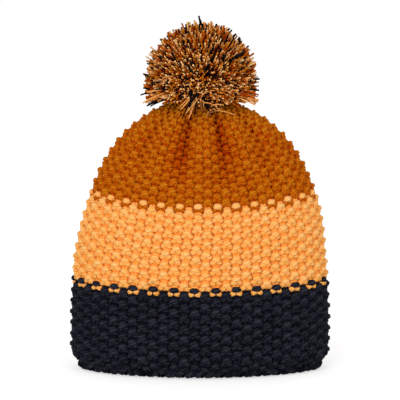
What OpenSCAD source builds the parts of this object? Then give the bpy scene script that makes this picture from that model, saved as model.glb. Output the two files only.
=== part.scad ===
// Pom pom beanie: a chunky seed-stitch tube in three colours, gathered at the top and finished with a pom.
// It stands on its cast-on edge with the opening down. The front faces -Y, and the origin is the
// middle of the opening. All sizes are in millimetres.

/* [Hat body] */
// Width of the brim across the front
brim_w = 230; // [210:1:260]
// Depth of the brim from front to back
brim_d = 116; // [100:1:140]
// Height at which the outside of the crown would close if it had no eye
body_h = 242; // [225:1:265]
// Thickness of the knitted wall
knit_t = 8; // [6:0.5:10]
// Squareness of the oval at the brim, where 2 is an ellipse and less is pointed at the sides
oval_power = 1.8; // [1.6:0.1:2.4]
// Fullness of the crown, where a larger number keeps the sides upright for longer
dome_power = 3; // [2.5:0.1:4]
// Most that a row of stitches rises from the front towards the sides
side_lift = 7.5; // [0:0.5:12]

/* [Bands] */
// Height of the cast-on edge
hem_h = 11; // [6:0.5:16]
// How far the cast-on edge draws in from the brim
hem_inset = 5; // [2:0.5:6]
// Height of the navy band above the cast-on edge, at the front
brim_h = 66; // [50:1:76]
// Height of the apricot band, at the front
middle_h = 73; // [60:1:84]
// Radius of the sewing yarn in the back seam
seam_r = 2.5; // [1.5:0.1:3]

/* [Gathered top] */
// Radius of the eye that the crown is drawn into
eye_r = 13; // [12:0.5:16]
// Number of gathers round the crown
pleats = 12; // [8:4:16]
// Height of a gather's ridge above the mean surface
pleat_depth = 4; // [1:0.5:5]
// Radius of the drawstring yarn
draw_r = 2.6; // [2:0.1:3]
// Radius of the knot in the drawstring's ends
draw_knot_r = 4; // [3:0.25:5]

/* [Pom] */
// Width of the pom
pom_w = 102; // [90:1:115]
// Height of the pom
pom_h = 92; // [80:1:105]
// Height of the pom's middle above the eye
pom_rise = 18; // [16:0.5:24]
// Height of the pom's springy part above the eye, with the soft skirt of strands below it
pom_lift = 6; // [5:0.5:8]
// Bundles of cut yarn round the pom, a third of them in each colour
bundles = 12; // [6:3:18]
// Radius of the strands where the tie squeezes them
waist_r = 3; // [2.5:0.25:4]
// Radius of the tie cord and of its two tails
tie_r = 2.2; // [1.5:0.1:2.5]
// How much larger the anchor knot is than the ring it bears on, by radius
knot_grip = 1; // [0.5:0.1:2.5]
// Length of the cut ends below a knot
knot_end_l = 14; // [8:1:24]

/* [Clearances] */
// Gap between soft pieces that rest on each other
seat_gap = 0.3; // [0.2:0.05:0.4]

/* [Hidden] */
$fn = 96;
ochre = "#ac5205";
apricot = "#f9a250";
navy = "#191b22";
// Points round a knitted band, and round the seam yarn
ring_n = 72;
seam_n = 8;
// The front of the hat is at 270 degrees and the back seam at 90
back = 90;
half_w = brim_w / 2;
half_d = brim_d / 2;
// Heights along the body run from 0 at the top of the cast-on edge to 1 at the eye
eye_top = eye_height(0);
eye_bottom = eye_height(knit_t);
brim_top = brim_h / (eye_top - hem_h);
middle_top = (brim_h + middle_h) / (eye_top - hem_h);
gather_start = middle_top + 0.15 * (1 - middle_top);
// Rows where each band has a ring of points
brim_rows = [0, 0.5, 1];
middle_rows = [0, 0.33, 0.67, 1];
crown_rows = [0, 0.22, 0.42, 0.6, 0.75, 0.87, 0.95, 1];
// The seam of the crown has the crown's own rows, up to the last of these before the eye
crown_seam_rows = [for (r = crown_rows) if (r < 0.9) r];
// The drawstring lines the eye, and the anchor knot bears on it from below
draw_ring_r = eye_r - seat_gap - draw_r;
draw_z = (eye_top + eye_bottom) / 2;
knot_r = draw_ring_r - draw_r + knot_grip;
knot_reach = knot_r + draw_r + seat_gap;
knot_z = draw_z - sqrt(knot_reach * knot_reach - draw_ring_r * draw_ring_r);
knot_end_tilt = 25;
// The drawstring's own knot lies under the crown's last row but one, at the back
draw_knot_u = middle_top + (1 - middle_top) * crown_rows[len(crown_rows) - 2];
// Step along the body over which the run of the wall is measured
wall_step = 0.005;
// The tie is two turns of cord round the pom's waist, in a pocket of the strands
pom_z = eye_top + pom_rise;
pom_flat_z = eye_top + pom_lift;
tie_ring_r = waist_r + seat_gap + tie_r;
tie_turn = 0.9 * tie_r;
tie_half_h = tie_turn + tie_r;
pom_hole_r = tie_ring_r + tie_r + seat_gap;
tail_x = tie_r + seat_gap;
// Steps along the pom's outline, and the lowest angle that its skirt may reach
pom_steps = 14;
skirt_steps = 10;
skirt_low = -60;

// Signed power, for the squared oval
function spow(v, p) = sign(v) * pow(abs(v), p);

// Narrowing of the hat at height z, for a dome that closes at height top
function narrowing(z, top) = sqrt(max(0, 1 - pow(z / top, dome_power)));

// Height of a dome at distance r from the axis, measured along the width
function dome_height(r, half, top) = top * pow(1 - pow(r / half, 2), 1 / dome_power);

// Height of the eye's rim, for the surface that lies g inside the hat's outside
function eye_height(g) = dome_height(eye_r, half_w - g, body_h - g);

// Rise of a row towards the sides, none at the cast-on edge and at the eye
function lift(u) = side_lift * 6.75 * u * u * (1 - u);

// Depth of the gathers, which grow from the crown's middle and close up at the eye
function gather(u) = u <= gather_start ? 0 : pleat_depth * sin(180 * (u - gather_start) / (1 - gather_start));

// Squareness of the oval where the hat has narrowed to s, round at the eye
function squareness(s, s_eye) = 2 + (oval_power - 2) * (s - s_eye) / (1 - s_eye);

// Point of the surface that lies g inside the outside, at body height u and angle a
function wall_point(g, u, a) =
    let(w = half_w - g, d = half_d - g, top = body_h - g)
    let(z = hem_h + (eye_height(g) - hem_h) * u + lift(u) * cos(a) * cos(a))
    let(s = narrowing(z, top), s_eye = eye_r / w, p = 2 / squareness(s, s_eye))
    let(round_d = ln(eye_r / d) / ln(s_eye), wave = gather(u) * cos(pleats * a))
    [(w * s + wave) * spow(cos(a), p), (d * pow(s, round_d) + wave) * spow(sin(a), p), z];

// Oval of the cast-on edge, g inside the brim's outside
function oval(g) = [for (i = [0 : ring_n - 1]) let(a = 360 * i / ring_n)
    [(half_w - g) * spow(cos(a), 2 / oval_power), (half_d - g) * spow(sin(a), 2 / oval_power)]];

// Body heights of a band's rows between two borders
function levels(rows, from, to) = [for (r = rows) from + (to - from) * r];

// Two triangles of a grid cell of n columns, wound one way or the other
function cell(i, j, n, flip) =
    let(a = j * n + i, b = j * n + (i + 1) % n, c = a + n, d = b + n)
    flip ? [[a, d, c], [a, b, d]] : [[a, c, d], [a, d, b]];

// Closed knitted band with its outside, its inside and its two rims
module band(us) {
    rows = len(us);
    inside = rows * ring_n;
    points = [for (g = [0, knit_t], u = us, i = [0 : ring_n - 1]) wall_point(g, u, 360 * i / ring_n)];
    outer_faces = [for (j = [0 : rows - 2], i = [0 : ring_n - 1], f = cell(i, j, ring_n, false)) f];
    inner_faces = [for (j = [rows : 2 * rows - 2], i = [0 : ring_n - 1], f = cell(i, j, ring_n, true)) f];
    low_rim = [for (i = [0 : ring_n - 1]) let(k = (i + 1) % ring_n)
        each [[i, k, inside + k], [i, inside + k, inside + i]]];
    top = (rows - 1) * ring_n;
    top_rim = [for (i = [0 : ring_n - 1]) let(a = top + i, b = top + (i + 1) % ring_n)
        each [[a, b + inside, b], [a, a + inside, b + inside]]];
    polyhedron(points, concat(outer_faces, inner_faces, low_rim, top_rim));
}

// Place inside the hat at the centre back, at distance d from the wall at body height u
function behind_wall(u, d) =
    let(run = wall_point(knit_t, u + wall_step, back) - wall_point(knit_t, u - wall_step, back))
    wall_point(knit_t, u, back) + d * cross([1, 0, 0], run) / norm(run);

// Middle of the seam yarn at body height u
function seam_middle(u) = behind_wall(u, seam_r + seat_gap);

// Ring of points round the seam yarn, square to its run
function seam_ring(us, j) =
    let(here = seam_middle(us[j]))
    let(ahead = seam_middle(us[min(j + 1, len(us) - 1)]), behind = seam_middle(us[max(j - 1, 0)]))
    let(run = (ahead - behind) / norm(ahead - behind), side = cross([1, 0, 0], run))
    [for (k = [0 : seam_n - 1]) let(a = 360 * k / seam_n) here + seam_r * (cos(a) * [1, 0, 0] + sin(a) * side)];

// Length of sewing yarn on the inside of the back
module seam(us) {
    rows = len(us);
    points = [for (j = [0 : rows - 1], p = seam_ring(us, j)) p];
    sides = [for (j = [0 : rows - 2], i = [0 : seam_n - 1], f = cell(i, j, seam_n, false)) f];
    low_end = [for (i = [1 : seam_n - 2]) [0, i, i + 1]];
    last = (rows - 1) * seam_n;
    top_end = [for (i = [1 : seam_n - 2]) [last, last + i + 1, last + i]];
    polyhedron(points, concat(sides, low_end, top_end));
}

// Body heights of a seam on a band's own rows, which keeps clear of the seams above and below it
function seam_levels(rows, from, to) =
    let(us = levels(rows, from, to), last = len(us) - 1, step = seat_gap / (eye_top - hem_h))
    [for (j = [0 : last]) us[j] + (j == 0 ? step : j == last ? -step : 0)];

// Ball of a knot with its two cut ends hanging below, side by side along X
module knot(r, end_r) {
    sphere(r);
    for (side = [-1, 1])
        rotate([0, side * knot_end_tilt, 0])
            mirror([0, 0, 1])
                cylinder(h = r + knot_end_l, r = end_r);
}

module cast_on_edge() {
    color(navy)
        linear_extrude(hem_h)
            difference() {
                polygon(oval(hem_inset));
                polygon(oval(hem_inset + knit_t));
            }
}

module brim_knit() {
    color(navy) band(levels(brim_rows, 0, brim_top));
}

module middle_knit() {
    color(apricot) band(levels(middle_rows, brim_top, middle_top));
}

module crown_knit() {
    color(ochre) band(levels(crown_rows, middle_top, 1));
}

module back_seam_navy() {
    color(navy) seam(seam_levels(brim_rows, 0, brim_top));
}

module back_seam_apricot() {
    color(apricot) seam(seam_levels(middle_rows, brim_top, middle_top));
}

module back_seam_ochre() {
    color(ochre) seam(seam_levels(crown_seam_rows, middle_top, 1));
}

module crown_drawstring() {
    color(ochre)
        translate([0, 0, draw_z])
            rotate_extrude()
                translate([draw_ring_r, 0])
                    circle(draw_r);
}

module drawstring_knot() {
    color(ochre)
        translate(behind_wall(draw_knot_u, draw_knot_r + 2 * seat_gap))
            knot(draw_knot_r, draw_r / 2);
}

module pom_anchor_knot() {
    color(navy)
        translate([0, 0, knot_z])
            knot(knot_r, tie_r);
}

module pom_tie_tails() {
    tail_top = pom_z - tie_half_h - 2 * seat_gap;
    color(navy)
        difference() {
            for (side = [-1, 1])
                translate([side * tail_x, 0, knot_z])
                    cylinder(h = tail_top - knot_z, r = tie_r);
            translate([0, 0, knot_z]) sphere(knot_r + seat_gap);
        }
}

module pom_tie() {
    color(navy)
        translate([0, 0, pom_z])
            rotate_extrude()
                for (turn = [-1, 1])
                    translate([tie_ring_r, turn * tie_turn])
                        circle(tie_r);
}

// Point of the pom's outline at angle a above its middle
function pom_edge(a) = [pom_w / 2 * cos(a), pom_z + pom_h / 2 * sin(a)];

// Angle of the pom's outline where its springy part ends
pom_low = asin((pom_flat_z - pom_z) / (pom_h / 2));

// Half section of the springy strands, with the waist in the middle and the tie's pocket round it
function strand_section() =
    let(roof = pom_z + tie_half_h + seat_gap, foot = pom_z - tie_half_h - seat_gap)
    concat(
        [for (i = [0 : pom_steps]) pom_edge(pom_low + (90 - pom_low) * i / pom_steps)],
        [[0, foot], [waist_r, foot], [waist_r, roof], [pom_hole_r, roof], [pom_hole_r, pom_flat_z]]);

// Bundles of one colour: every third sector of the pom, starting at the given one
module strands(first) {
    sector = 360 / bundles;
    for (k = [first : 3 : bundles - 1])
        rotate(k * sector)
            rotate_extrude(angle = sector)
                polygon(strand_section());
}

module pom_strands_ochre() {
    color(ochre) strands(0);
}

module pom_strands_apricot() {
    color(apricot) strands(1);
}

module pom_strands_navy() {
    color(navy) strands(2);
}

// Lowest place for the skirt at distance r from the axis, over the ridges of the gathers
function skirt_floor(r) = dome_height(max(0, r - pleat_depth), half_w, body_h) + seat_gap;

// Half section of the soft lower strands, which lie on the crown
function skirt_section() =
    let(arc = [for (i = [0 : skirt_steps])
        let(p = pom_edge(pom_low + (skirt_low - pom_low) * i / skirt_steps))
        if (p[1] > skirt_floor(p[0]) + seat_gap) p])
    let(rim = arc[len(arc) - 1][0])
    concat(
        [[pom_hole_r, pom_flat_z]],
        arc,
        [for (i = [0 : skirt_steps]) let(r = rim + (pom_hole_r - rim) * i / skirt_steps) [r, skirt_floor(r)]]);

module pom_skirt_strands() {
    color(ochre) rotate_extrude() polygon(skirt_section());
}

cast_on_edge();
brim_knit();
middle_knit();
crown_knit();
back_seam_navy();
back_seam_apricot();
back_seam_ochre();
crown_drawstring();
drawstring_knot();
pom_anchor_knot();
pom_tie_tails();
pom_tie();
pom_strands_ochre();
pom_strands_apricot();
pom_strands_navy();
pom_skirt_strands();
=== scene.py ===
"""Pom pom beanie: seed-stitch bands of chunky yarn, a gathered crown and a pom of cut yarn.

All sizes are in metres. The front of the hat faces -Y, its opening is down, and the origin is the middle
of the opening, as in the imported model.
"""
import logging
import math
from dataclasses import dataclass, field
from enum import Enum
from typing import Any, ClassVar, Optional, Sequence, Union

import bpy
import numpy as np
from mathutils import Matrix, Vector


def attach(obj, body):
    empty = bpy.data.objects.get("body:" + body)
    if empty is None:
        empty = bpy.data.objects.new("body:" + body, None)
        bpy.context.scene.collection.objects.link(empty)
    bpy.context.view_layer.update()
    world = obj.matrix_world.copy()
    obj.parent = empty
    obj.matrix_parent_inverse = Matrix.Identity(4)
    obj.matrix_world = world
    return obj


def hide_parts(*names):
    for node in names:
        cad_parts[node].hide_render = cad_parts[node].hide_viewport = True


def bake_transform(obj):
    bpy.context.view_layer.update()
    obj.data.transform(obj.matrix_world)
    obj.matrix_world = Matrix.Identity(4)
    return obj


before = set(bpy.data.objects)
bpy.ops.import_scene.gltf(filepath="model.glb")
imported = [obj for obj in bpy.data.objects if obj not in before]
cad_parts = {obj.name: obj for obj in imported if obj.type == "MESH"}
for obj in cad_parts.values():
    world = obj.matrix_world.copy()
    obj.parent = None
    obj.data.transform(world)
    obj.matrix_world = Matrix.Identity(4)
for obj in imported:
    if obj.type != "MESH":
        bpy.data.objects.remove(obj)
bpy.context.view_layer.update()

LOG = logging.getLogger("beanie")
TURN = 2 * math.pi
FRONT = 1.5 * math.pi
WHITE = (1.0, 1.0, 1.0, 1.0)
GOLDEN_ANGLE = math.pi * (3 - math.sqrt(5))
# Step between the places of a sine that stand in for chance, so that neighbours differ.
STRAY_STEP = 5.0
# Makes the curve of the side lift, share * share * (1 - share), reach 1 at its peak.
LIFT_PEAK = 27 / 4

Colour = tuple[float, float, float]
Place = tuple[float, float, float]
# A length of yarn: its points, its radius at each of them, and whether it is a closed ring.
Run = tuple[np.ndarray, np.ndarray, bool]
Number = Union[float, "Field"]


class Body(Enum):
    """Bodies that the pieces ride on."""

    HAT = "hat"
    KNOT = "pom_knot"
    TAILS = "pom_tails"
    POM = "pom"


class Dye(Enum):
    """Colours of the yarn, by the record's slots."""

    OCHRE = "ochre_yarn"
    APRICOT = "apricot_yarn"
    NAVY = "navy_yarn"

    @property
    def word(self) -> str:
        """Plain word for the colour."""
        return self.value.split("_")[0]


class Socket(Enum):
    """Kinds of input that a node tree takes."""

    WHOLE = "NodeSocketInt"
    NUMBER = "NodeSocketFloat"
    MATERIAL = "NodeSocketMaterial"


@dataclass(frozen=True)
class YarnFinish:
    """Matte spun yarn whose plies wind round it.

    The colour, the relief and the roughness follow two attributes of the mesh. `yarn` holds the distance
    along the yarn and the cosine and sine of the angle round it. `shade` holds a tone for each stitch or
    strand: a random tone, with painted shade where the yarn lies deep or in a crease and painted light where
    it stands out.
    """

    name: str
    dark: Colour
    base: Colour
    light: Colour
    plies: int
    pitch: float
    sheen: float
    relief: float
    least_tone: float = 0.1
    ply_tone: float = 0.16
    fuzz_tone: float = 0.5
    patch_tone: float = 0.3
    shade_tone: float = 0.36
    fuzz_scale: float = 1500.0
    patch_scale: float = 90.0
    ply_height: float = 0.5
    fuzz_height: float = 0.9
    bump: float = 0.9
    roughness: float = 0.76
    fuzz_roughness: float = 0.2
    gloss: float = 0.025
    sheen_roughness: float = 0.45

    def material(self) -> bpy.types.Material:
        """Make the material, or give back the one that is already made."""
        made = bpy.data.materials.get(self.name)
        if made is not None:
            return made
        made = bpy.data.materials.new(self.name)
        made.use_nodes = True
        made.diffuse_color = (*self.base, 1.0)
        paint = ShaderSheet(made.node_tree)
        along, cosine, sine = paint.split(paint.attribute("yarn", "Vector"))
        angle = paint.math("ARCTAN2", sine, cosine)
        twist = paint.math("MULTIPLY", along, TURN * self.plies / self.pitch)
        ply = paint.math("SINE", paint.math("MULTIPLY_ADD", angle, float(self.plies), twist))
        fuzz = paint.noise(self.fuzz_scale, detail=3.0)
        patch = paint.noise(self.patch_scale, detail=2.0)
        # The shade attribute carries painted shade and painted light besides a random tone.
        shade = paint.attribute("shade", "Fac")
        tone = paint.math("MULTIPLY_ADD", ply, self.ply_tone, self.least_tone)
        for part, weight in ((fuzz, self.fuzz_tone), (patch, self.patch_tone), (shade, self.shade_tone)):
            tone = paint.math("MULTIPLY_ADD", part, weight, tone)
        height = paint.math("MULTIPLY", ply, self.ply_height)
        height = paint.math("MULTIPLY_ADD", fuzz, self.fuzz_height, height)
        rough = paint.math("MULTIPLY_ADD", fuzz, self.fuzz_roughness, self.roughness)
        inputs = paint.shader.inputs
        paint.link(paint.ramp(tone, (self.dark, self.base, self.light)), inputs["Base Color"])
        paint.link(rough, inputs["Roughness"])
        paint.link(paint.bump(height, self.bump, self.relief), inputs["Normal"])
        inputs["Specular IOR Level"].default_value = self.gloss
        inputs["Sheen Weight"].default_value = self.sheen
        inputs["Sheen Roughness"].default_value = self.sheen_roughness
        inputs["Sheen Tint"].default_value = (*self.light, 1.0)
        return made


class ShaderSheet:
    """Shader node tree, with short calls for the nodes that the finishes and the studio use."""

    def __init__(self, tree: bpy.types.NodeTree) -> None:
        """Start from the tree of a material or of the world.

        Args:
            tree: The tree.
        """
        self.tree = tree

    @property
    def shader(self) -> bpy.types.Node:
        """Principled shader of a material's tree."""
        return self.tree.nodes["Principled BSDF"]

    def link(self, source: bpy.types.NodeSocket, target: bpy.types.NodeSocket) -> None:
        """Join an output to an input."""
        self.tree.links.new(source, target)

    def feed(self, value: Any, target: bpy.types.NodeSocket) -> None:
        """Join an output to an input, or set the input to a number."""
        if isinstance(value, bpy.types.NodeSocket):
            self.link(value, target)
        else:
            target.default_value = value

    def attribute(self, name: str, output: str) -> bpy.types.NodeSocket:
        """Read an attribute of the mesh."""
        node = self.tree.nodes.new("ShaderNodeAttribute")
        node.attribute_name = name
        return node.outputs[output]

    def split(self, vector: bpy.types.NodeSocket) -> list[bpy.types.NodeSocket]:
        """Give the three parts of a vector."""
        node = self.tree.nodes.new("ShaderNodeSeparateXYZ")
        self.link(vector, node.inputs[0])
        return list(node.outputs)

    def math(self, operation: str, *values: Any) -> bpy.types.NodeSocket:
        """Do one sum on sockets or numbers."""
        node = self.tree.nodes.new("ShaderNodeMath")
        node.operation = operation
        for value, target in zip(values, node.inputs):
            self.feed(value, target)
        return node.outputs[0]

    def noise(self, scale: float, detail: float) -> bpy.types.NodeSocket:
        """Give a noise on the object's own coordinates."""
        place = self.tree.nodes.new("ShaderNodeTexCoord")
        node = self.tree.nodes.new("ShaderNodeTexNoise")
        node.inputs["Scale"].default_value = scale
        node.inputs["Detail"].default_value = detail
        self.link(place.outputs["Object"], node.inputs["Vector"])
        return node.outputs["Fac"]

    def ramp(self, value: bpy.types.NodeSocket, colours: Sequence[Colour]) -> bpy.types.NodeSocket:
        """Turn a value from 0 to 1 into a colour, with the given colours evenly spaced."""
        node = self.tree.nodes.new("ShaderNodeValToRGB")
        stops = node.color_ramp.elements
        while len(stops) < len(colours):
            stops.new(0.5)
        for at, (stop, colour) in enumerate(zip(stops, colours)):
            stop.position = at / (len(colours) - 1)
            stop.color = (*colour, 1.0)
        self.link(value, node.inputs["Fac"])
        return node.outputs["Color"]

    def bump(self, height: bpy.types.NodeSocket, strength: float, distance: float) -> bpy.types.NodeSocket:
        """Turn a height into a normal."""
        node = self.tree.nodes.new("ShaderNodeBump")
        node.inputs["Strength"].default_value = strength
        node.inputs["Distance"].default_value = distance
        self.link(height, node.inputs["Height"])
        return node.outputs["Normal"]


# Colours of the yarn. Each finish blends its dark, base and light colour by tone: the dark end also serves as
# painted shade in recesses, crossings, creases and deep in the pom, the light end as painted light on the
# fronts of the loops and the strands' tips; the rest is the yarn's own random tone.
DARK_OCHRE: Colour = (0.340, 0.006, 0.0001)
BASE_OCHRE: Colour = (0.490, 0.090, 0.0003)
LIGHT_OCHRE: Colour = (0.640, 0.222, 0.0085)
DARK_APRICOT: Colour = (1.000, 0.205, 0.0015)
BASE_APRICOT: Colour = (1.000, 0.425, 0.0800)
LIGHT_APRICOT: Colour = (1.000, 0.585, 0.2300)
DARK_NAVY: Colour = (0.0006, 0.0008, 0.0028)
BASE_NAVY: Colour = (0.0074, 0.0079, 0.0134)
LIGHT_NAVY: Colour = (0.0340, 0.0350, 0.0490)
DEEP_OCHRE: Colour = (0.075, 0.0015, 0.0001)
GOLD_OCHRE: Colour = (0.465, 0.050, 0.0002)
DEEP_APRICOT: Colour = (0.170, 0.012, 0.0004)
CUT_APRICOT: Colour = (1.000, 0.415, 0.0900)
PALE_APRICOT: Colour = (1.000, 0.620, 0.2600)
CUT_NAVY: Colour = (0.0085, 0.0042, 0.0042)
PALE_NAVY: Colour = (0.0240, 0.0160, 0.0165)


def knitting_yarn(word: str, dark: Colour, base: Colour, light: Colour, sheen: float) -> YarnFinish:
    """Finish of the thick four-ply yarn that the hat is knitted from."""
    name = f"{word}_knitting_yarn"
    return YarnFinish(name, dark, base, light, plies=4, pitch=0.018, sheen=sheen, relief=4e-4)


def cut_yarn(word: str, dark: Colour, base: Colour, light: Colour, sheen: float) -> YarnFinish:
    """Finish of the thinner two-ply yarn of the pom's cut strands."""
    name = f"{word}_cut_yarn"
    return YarnFinish(name, dark, base, light, plies=2, pitch=0.007, sheen=sheen, relief=2e-4)


KNITTING = {
    Dye.OCHRE: knitting_yarn("ochre", DARK_OCHRE, BASE_OCHRE, LIGHT_OCHRE, sheen=0.2),
    Dye.APRICOT: knitting_yarn("apricot", DARK_APRICOT, BASE_APRICOT, LIGHT_APRICOT, sheen=0.2),
    Dye.NAVY: knitting_yarn("navy", DARK_NAVY, BASE_NAVY, LIGHT_NAVY, sheen=0.1),
}
CUT_YARN = {
    Dye.OCHRE: cut_yarn("ochre", DEEP_OCHRE, GOLD_OCHRE, LIGHT_OCHRE, sheen=0.06),
    Dye.APRICOT: cut_yarn("apricot", DEEP_APRICOT, CUT_APRICOT, PALE_APRICOT, sheen=0.06),
    Dye.NAVY: cut_yarn("navy", DARK_NAVY, CUT_NAVY, PALE_NAVY, sheen=0.04),
}


class Field:
    """Value of a node tree that can be used in sums."""

    def __init__(self, graph: "Graph", socket: bpy.types.NodeSocket) -> None:
        """Wrap an output.

        Args:
            graph: The tree that it belongs to.
            socket: The output itself.
        """
        self.graph = graph
        self.socket = socket

    def __add__(self, other: Number) -> "Field":
        """Sum."""
        return self.graph.math("ADD", self, other)

    def __radd__(self, other: Number) -> "Field":
        """Sum, from the right."""
        return self.graph.math("ADD", other, self)

    def __sub__(self, other: Number) -> "Field":
        """Difference."""
        return self.graph.math("SUBTRACT", self, other)

    def __rsub__(self, other: Number) -> "Field":
        """Difference, from the right."""
        return self.graph.math("SUBTRACT", other, self)

    def __mul__(self, other: Number) -> "Field":
        """Product."""
        return self.graph.math("MULTIPLY", self, other)

    def __rmul__(self, other: Number) -> "Field":
        """Product, from the right."""
        return self.graph.math("MULTIPLY", other, self)

    def __truediv__(self, other: Number) -> "Field":
        """Quotient."""
        return self.graph.math("DIVIDE", self, other)

    def __rtruediv__(self, other: Number) -> "Field":
        """Quotient, from the right."""
        return self.graph.math("DIVIDE", other, self)

    def __mod__(self, other: Number) -> "Field":
        """Remainder, never negative."""
        return self.graph.math("FLOORED_MODULO", self, other)

    def __pow__(self, other: Number) -> "Field":
        """Power."""
        return self.graph.math("POWER", self, other)

    def __gt__(self, other: Number) -> "Field":
        """1 where this is the greater, else 0."""
        return self.graph.math("GREATER_THAN", self, other)

    def floor(self) -> "Field":
        """Whole part."""
        return self.graph.math("FLOOR", self)

    def sin(self) -> "Field":
        """Sine of an angle in radians."""
        return self.graph.math("SINE", self)

    def cos(self) -> "Field":
        """Cosine of an angle in radians."""
        return self.graph.math("COSINE", self)

    def magnitude(self) -> "Field":
        """Size without the sign."""
        return self.graph.math("ABSOLUTE", self)

    def root(self) -> "Field":
        """Square root."""
        return self.graph.math("SQRT", self)

    def bell(self) -> "Field":
        """Bell curve: 1 at 0, falling off to both sides."""
        return self.graph.math("EXPONENT", 0.0 - self * self)

    def least(self, other: Number) -> "Field":
        """Smaller of two."""
        return self.graph.math("MINIMUM", self, other)

    def most(self, other: Number) -> "Field":
        """Larger of two."""
        return self.graph.math("MAXIMUM", self, other)


class Graph:
    """Geometry node tree that is written as sums on its fields."""

    def __init__(self, name: str) -> None:
        """Start an empty tree.

        Args:
            name: Name of the tree.
        """
        self.tree = bpy.data.node_groups.new(name, "GeometryNodeTree")
        self.identifiers: dict[str, str] = {}
        for way in ("INPUT", "OUTPUT"):
            self.tree.interface.new_socket("Geometry", in_out=way, socket_type="NodeSocketGeometry")
        self.start = self.tree.nodes.new("NodeGroupInput")
        self.end = self.tree.nodes.new("NodeGroupOutput")

    @property
    def host(self) -> Field:
        """Mesh of the object that has the modifier."""
        return Field(self, self.start.outputs["Geometry"])

    def entry(self, name: str, kind: Socket = Socket.NUMBER) -> Field:
        """Add a named input to the tree.

        Args:
            name: Name of the input.
            kind: What it takes.

        Returns:
            The input's value inside the tree.
        """
        item = self.tree.interface.new_socket(name, in_out="INPUT", socket_type=kind.value)
        self.identifiers[name] = item.identifier
        return Field(self, self.start.outputs[name])

    def node(
        self, kind: str, inputs: dict[Union[str, int], Any], output: Union[str, int] = 0, **settings: Any
    ) -> Field:
        """Add a node.

        Args:
            kind: Blender's name for the node.
            inputs: Values or fields, by the input's name or place.
            output: Name or place of the output to use.
            settings: Properties of the node.

        Returns:
            The chosen output.
        """
        made = self.tree.nodes.new(kind)
        for key, value in settings.items():
            setattr(made, key, value)
        for key, value in inputs.items():
            target = made.inputs[key] if isinstance(key, int) else self.open_socket(made.inputs, key)
            if isinstance(value, Field):
                self.tree.links.new(value.socket, target)
            else:
                target.default_value = value
        source = made.outputs[output] if isinstance(output, int) else self.open_socket(made.outputs, output)
        return Field(self, source)

    @staticmethod
    def open_socket(sockets: Any, name: str) -> bpy.types.NodeSocket:
        """Find the socket in use among those that share a name."""
        return next(socket for socket in sockets if socket.name == name and socket.enabled)

    def math(self, operation: str, *values: Number) -> Field:
        """Do one sum on numbers or fields."""
        return self.node("ShaderNodeMath", dict(enumerate(values)), operation=operation)

    def vector(self, x: Number, y: Number, z: Number) -> Field:
        """Put three numbers together."""
        return self.node("ShaderNodeCombineXYZ", {0: x, 1: y, 2: z})

    def parts(self, vector: Field) -> list[Field]:
        """Take a vector apart into its three numbers."""
        first = self.node("ShaderNodeSeparateXYZ", {0: vector})
        return [Field(self, socket) for socket in first.socket.node.outputs]

    def shifted(self, place: Field, way: Field, distance: Number) -> Field:
        """Move a place some distance along a direction."""
        step = self.node("ShaderNodeVectorMath", {0: way, "Scale": distance}, operation="SCALE")
        return self.node("ShaderNodeVectorMath", {0: place, 1: step}, operation="ADD")

    def index(self) -> Field:
        """Number of the point."""
        return self.node("GeometryNodeInputIndex", {})

    def named(self, name: str, kind: str = "FLOAT") -> Field:
        """Read a named attribute."""
        return self.node("GeometryNodeInputNamedAttribute", {"Name": name}, data_type=kind)

    def stored(self, geometry: Field, name: str, value: Field, kind: str = "FLOAT") -> Field:
        """Write a named attribute on the points."""
        inputs = {"Geometry": geometry, "Name": name, "Value": value}
        return self.node("GeometryNodeStoreNamedAttribute", inputs, data_type=kind, domain="POINT")

    def chance(self, key: Field, seed: Number) -> Field:
        """Random number from 0 to 1 for each key, the same on every run."""
        return self.node("FunctionNodeRandomValue", {"ID": key, "Seed": seed}, "Value", data_type="FLOAT")

    def stray(self, key: Field, seed: Number) -> Field:
        """Random number from -1 to 1 for each key, the same on every run."""
        return 2.0 * self.chance(key, seed) - 1.0

    def captured(self, geometry: Field, kind: str, value: Field) -> tuple[Field, Field]:
        """Keep a value on the points of a curve.

        Args:
            geometry: The curve.
            kind: FLOAT or VECTOR.
            value: The value to keep.

        Returns:
            The curve and the kept value.
        """
        made = self.tree.nodes.new("GeometryNodeCaptureAttribute")
        made.domain = "POINT"
        made.capture_items.new(kind, "Kept")
        self.tree.links.new(geometry.socket, made.inputs["Geometry"])
        self.tree.links.new(value.socket, made.inputs["Kept"])
        return Field(self, made.outputs["Geometry"]), Field(self, made.outputs["Kept"])

    def tubes(self, points: Field, group: Field, sides: Field, radius: Field, material: Field) -> None:
        """Run yarn through points and hand the tubes out of the tree.

        The points carry the attributes `thick`, a share of the radius, and `shade`.

        Args:
            points: The points, in order.
            group: Number of the yarn that each point belongs to.
            sides: Sides of the yarn's section.
            radius: Radius of the yarn.
            material: Its finish.
        """
        lines = self.node("GeometryNodePointsToCurves", {"Points": points, "Curve Group ID": group})
        run = self.node("GeometryNodeSplineParameter", {}, "Length")
        lines, along = self.captured(lines, "FLOAT", run)
        section = {"Resolution": sides, "Radius": 1.0}
        ring = self.node("GeometryNodeCurvePrimitiveCircle", section, "Curve", mode="RADIUS")
        ring, spoke = self.captured(ring, "VECTOR", self.node("GeometryNodeInputPosition", {}))
        scale = radius * self.named("thick")
        inputs = {"Curve": lines, "Profile Curve": ring, "Scale": scale, "Fill Caps": True}
        tube = self.node("GeometryNodeCurveToMesh", inputs)
        cosine, sine, _ = self.parts(spoke)
        tube = self.stored(tube, "yarn", self.vector(along, cosine, sine), "FLOAT_VECTOR")
        tube = self.node("GeometryNodeSetShadeSmooth", {"Geometry": tube, "Shade Smooth": True})
        tube = self.node("GeometryNodeRealizeInstances", {"Geometry": tube})
        tube = self.node("GeometryNodeSetMaterial", {"Geometry": tube, "Material": material})
        self.tree.links.new(tube.socket, self.end.inputs["Geometry"])

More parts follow.
